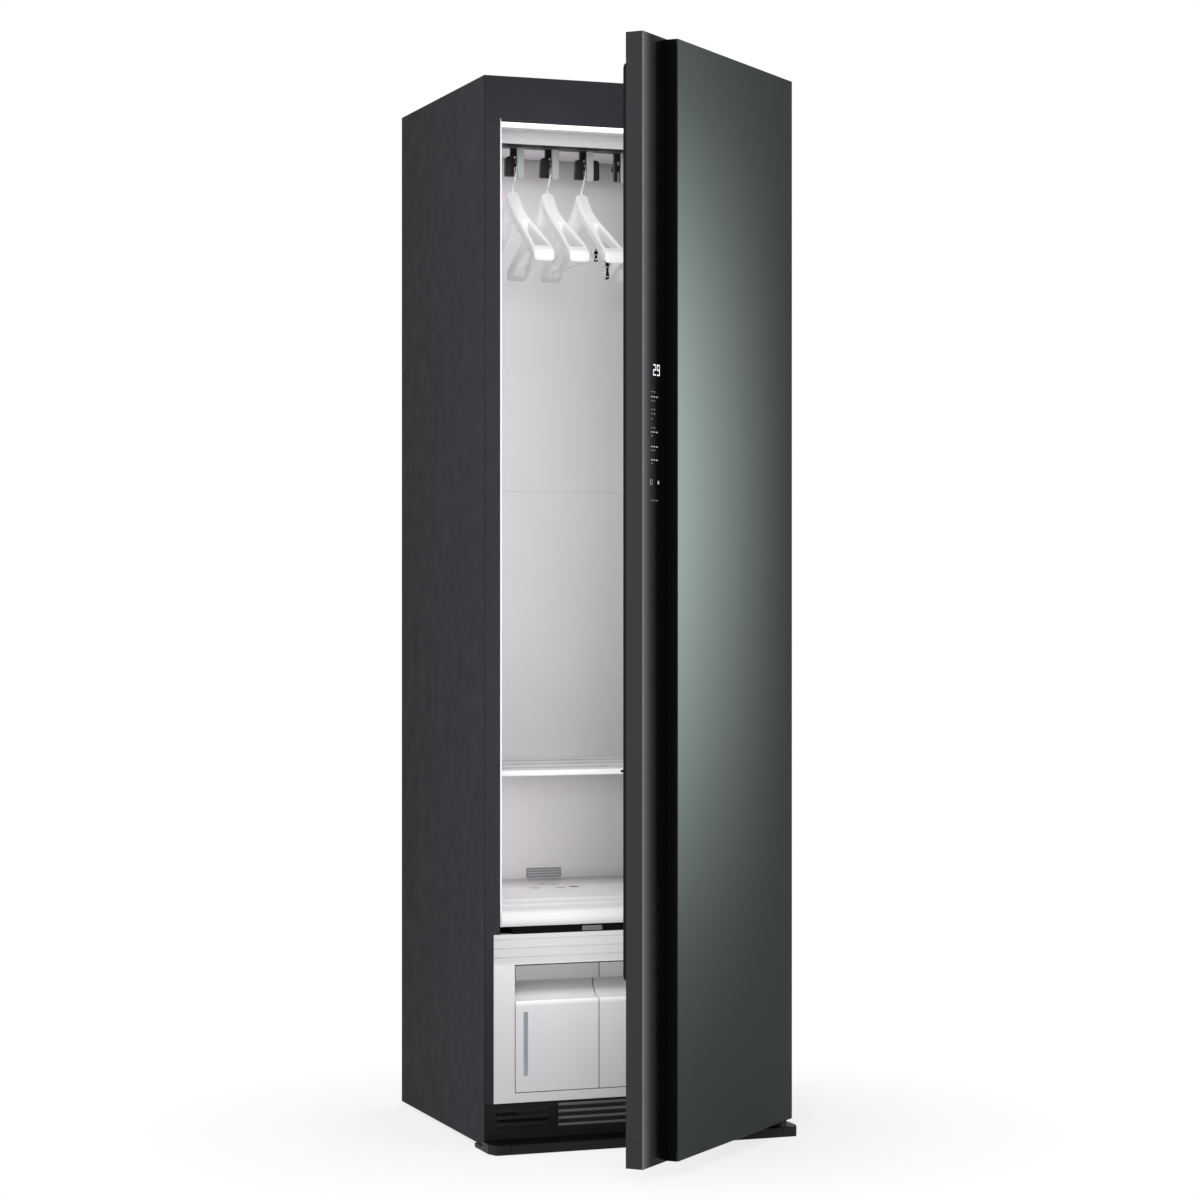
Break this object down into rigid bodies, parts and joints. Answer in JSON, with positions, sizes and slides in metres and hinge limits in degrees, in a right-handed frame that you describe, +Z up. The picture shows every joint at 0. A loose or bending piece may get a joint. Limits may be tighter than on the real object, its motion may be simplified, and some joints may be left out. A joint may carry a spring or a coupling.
{
  "type": "clothes care steam cabinet",
  "caption": "Tall free-standing clothes care cabinet with a glass door, moving hanger rail, hangers, shelf, water tanks and steam machine.",
  "frame": {"origin": "on the floor, in the middle of the cabinet's front plane, on the underside of the plinth bar", "axes": "+Z up, +Y to the back of the cabinet, +X to the right seen from the front"},
  "size_m": [0.602, 0.9654, 1.96],
  "materials": {
    "cabinet_paint": "satin charcoal paint",
    "galvanised_steel": "zinc coated sheet",
    "black_plastic": "satin",
    "white_liner": "satin moulded",
    "light_lens": "frosted",
    "steam_outlet": "satin",
    "white_fascia": "satin moulded",
    "bay_plastic": "moulded",
    "tank_white": "satin moulded",
    "tank_lid_grey": "satin moulded",
    "filter_black": "moulded",
    "exchanger_metal": "raw",
    "boiler_metal": "cast",
    "blower_plastic": "moulded",
    "compressor_black": "black paint",
    "control_box": "moulded",
    "pipe_copper": "bright",
    "screw_steel": "plated",
    "rail_silver": "brushed",
    "motor_metal": "plated",
    "bar_black": "satin",
    "strap_grey": "satin",
    "clip_chrome": "polished",
    "hanger_white": "gloss",
    "hook_chrome": "polished",
    "door_frame_dark": "satin",
    "door_glass_green": "satin back-painted",
    "strip_gloss_black": "gloss",
    "board_green": "solder mask",
    "door_liner_white": "satin moulded",
    "gasket_rubber": "matte"
  },
  "bodies": {
    "cabinet": {"side_panel_left": "cabinet_paint", "side_panel_right": "cabinet_paint", "top_panel": "cabinet_paint", "header": "cabinet_paint", "stile_left": "cabinet_paint", "stile_right": "cabinet_paint", "back_panel": "galvanised_steel", "base_pan": "galvanised_steel", "hinge_bracket_top": "galvanised_steel", "hinge_bracket_bottom": "galvanised_steel", "kick_plate": "black_plastic", "plinth_bar": "black_plastic", "plinth_end_caps": "black_plastic", "hinge_cover": "black_plastic", "levelling_feet": "black_plastic", "chamber_liner": "white_liner", "liner_back_wall": "white_liner", "chamber_floor": "white_liner", "light_lens": "light_lens", "steam_outlet": "steam_outlet", "lower_fascia": "white_fascia", "tank_bay": "bay_plastic", "heat_exchanger": "exchanger_metal", "steam_generator": "boiler_metal", "blower_housing": "blower_plastic", "compressor": "compressor_black", "control_box": "control_box", "refrigerant_pipes": "pipe_copper", "cabinet_screws": "screw_steel", "hanger_rail": "rail_silver", "shaker_motor": "motor_metal"},
    "door": {"door_frame": "door_frame_dark", "door_cap_top": "door_frame_dark", "door_cap_bottom": "door_frame_dark", "door_panel_tray": "door_frame_dark", "door_glass": "door_glass_green", "display_strip": "strip_gloss_black", "display_board": "board_green", "door_liner": "door_liner_white", "door_gasket": "gasket_rubber"},
    "carriage": {"hanger_bar": "bar_black", "holder_arms": "bar_black", "holder_straps": "strap_grey"},
    "crank": {"crank_disc": "motor_metal"},
    "fan": {"blower_fan": "blower_plastic"},
    "hanger_1_body": {"hanger_1": "hanger_white", "hanger_1_hook": "hook_chrome"},
    "hanger_2_body": {"hanger_2": "hanger_white", "hanger_2_hook": "hook_chrome"},
    "hanger_3_body": {"hanger_3": "hanger_white", "hanger_3_hook": "hook_chrome", "trouser_clips": "clip_chrome"},
    "hanger_4_body": {"hanger_4": "hanger_white", "hanger_4_hook": "hook_chrome"},
    "supply_tank_body": {"supply_tank": "tank_white", "supply_tank_lid": "tank_lid_grey"},
    "drain_tank_body": {"drain_tank": "tank_white", "drain_tank_lid": "tank_lid_grey"},
    "shelf_body": {"shelf": "white_liner"},
    "filter_body": {"lint_filter": "filter_black"}
  },
  "joints": [
    {"name": "door_hinge", "type": "hinge", "parent": "cabinet", "child": "door", "pos_m": [0.2635, -0.0525, 1], "axis": [0, 0, 1], "range_deg": [-43.4, 66.6]},
    {"name": "hanger_shuttle", "type": "slide", "parent": "cabinet", "child": "carriage", "axis": [1, 0, 0], "range_m": [-0.012, 0.012]},
    {"name": "crank_spin", "type": "hinge", "parent": "cabinet", "child": "crank", "pos_m": [0.19, 0.171, 1.89], "axis": [0, 0, 1], "continuous": true},
    {"name": "fan_spin", "type": "hinge", "parent": "cabinet", "child": "fan", "pos_m": [0.015, 0.385, 0.1], "axis": [0, 0, 1], "continuous": true},
    {"name": "hanger_1_swing", "type": "hinge", "parent": "carriage", "child": "hanger_1_body", "pos_m": [-0.1725, 0.214, 1.825], "axis": [1, 0, 0], "range_deg": [-5, 5]},
    {"name": "hanger_2_swing", "type": "hinge", "parent": "carriage", "child": "hanger_2_body", "pos_m": [-0.1035, 0.214, 1.825], "axis": [1, 0, 0], "range_deg": [-5, 5]},
    {"name": "hanger_3_swing", "type": "hinge", "parent": "carriage", "child": "hanger_3_body", "pos_m": [-0.0345, 0.214, 1.825], "axis": [1, 0, 0], "range_deg": [-5, 5]},
    {"name": "hanger_4_swing", "type": "hinge", "parent": "carriage", "child": "hanger_4_body", "pos_m": [0.1035, 0.214, 1.825], "axis": [1, 0, 0], "range_deg": [-5, 5]},
    {"name": "supply_tank_slide", "type": "slide", "parent": "cabinet", "child": "supply_tank_body", "axis": [0, -1, 0], "range_m": [0, 0.25]},
    {"name": "drain_tank_slide", "type": "slide", "parent": "cabinet", "child": "drain_tank_body", "axis": [0, -1, 0], "range_m": [0, 0.13]},
    {"name": "shelf_slide", "type": "slide", "parent": "cabinet", "child": "shelf_body", "axis": [0, -1, 0], "range_m": [0, 0.05]},
    {"name": "filter_slide", "type": "slide", "parent": "cabinet", "child": "filter_body", "axis": [0, -1, 0], "range_m": [0, 0.14]}
  ]
}
